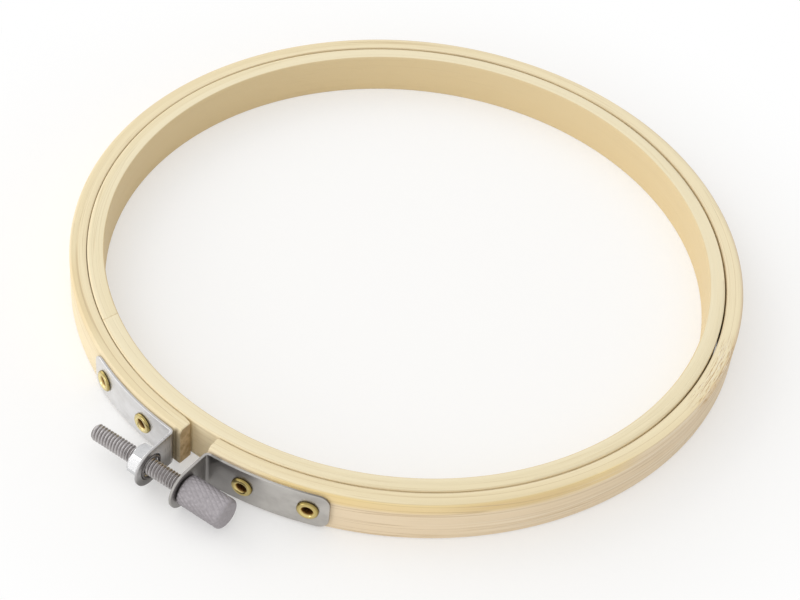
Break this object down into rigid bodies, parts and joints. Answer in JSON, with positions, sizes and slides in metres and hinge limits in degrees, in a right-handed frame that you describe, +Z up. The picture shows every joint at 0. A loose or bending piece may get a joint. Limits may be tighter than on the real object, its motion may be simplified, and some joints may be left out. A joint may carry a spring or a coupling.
{
  "type": "embroidery hoop",
  "caption": "Round bamboo embroidery hoop: closed inner ring in a split outer ring, drawn tight by a knurled thumb screw through riveted steel brackets.",
  "frame": {"origin": "on the surface that the hoop lies on, under the centre of its bounding box; the rings' centre is 6.3 mm further along +Y", "axes": "+Z up through the rings, +X along the thumb screw from its tip to its knurled head, -Y from the rings' centre to the split and the clamp"},
  "size_m": [0.161, 0.1736, 0.0108],
  "materials": {
    "outer_bamboo": "planed bamboo, unvarnished, fine lengthwise grain, soft sheen",
    "inner_bamboo": "sanded bamboo, unvarnished, fine lengthwise grain, soft sheen",
    "bracket_steel": "satin zinc-plated sheet steel, edges brighter than faces",
    "rivet_brass": "bright yellow brass, slightly dulled in the rolled hollow",
    "nut_nickel": "bright nickel plate",
    "screw_steel": "grey plated steel, cut thread and diamond knurl"
  },
  "bodies": {
    "outer_band": {"outer_ring": "outer_bamboo", "left_bracket": "bracket_steel", "left_rivet_near": "rivet_brass", "left_rivet_far": "rivet_brass", "clamp_nut": "nut_nickel"},
    "right_end": {"right_bracket": "bracket_steel", "right_rivet_near": "rivet_brass", "right_rivet_far": "rivet_brass"},
    "screw": {"thumb_screw": "screw_steel"},
    "inner_band": {"inner_ring": "inner_bamboo"}
  },
  "joints": [
    {"name": "screw_turn", "type": "hinge", "parent": "right_end", "child": "screw", "pos_m": [0.00455, -0.08195, 0.0054], "axis": [1, 0, 0], "range_deg": [-360, 1800]},
    {"name": "split_opening", "type": "hinge", "parent": "outer_band", "child": "right_end", "pos_m": [0, 0.0848, 0.0054], "axis": [0, 0, 1], "range_deg": [-0.3, 1.4], "deforming": ["outer_ring"]},
    {"name": "inner_ring_lift", "type": "slide", "parent": "outer_band", "child": "inner_band", "axis": [0, 0, 1], "range_m": [0, 0.015]}
  ],
  "couplings": [
    {"joint": "split_opening", "follows": "screw_turn", "ratio": 0.0007576}
  ]
}
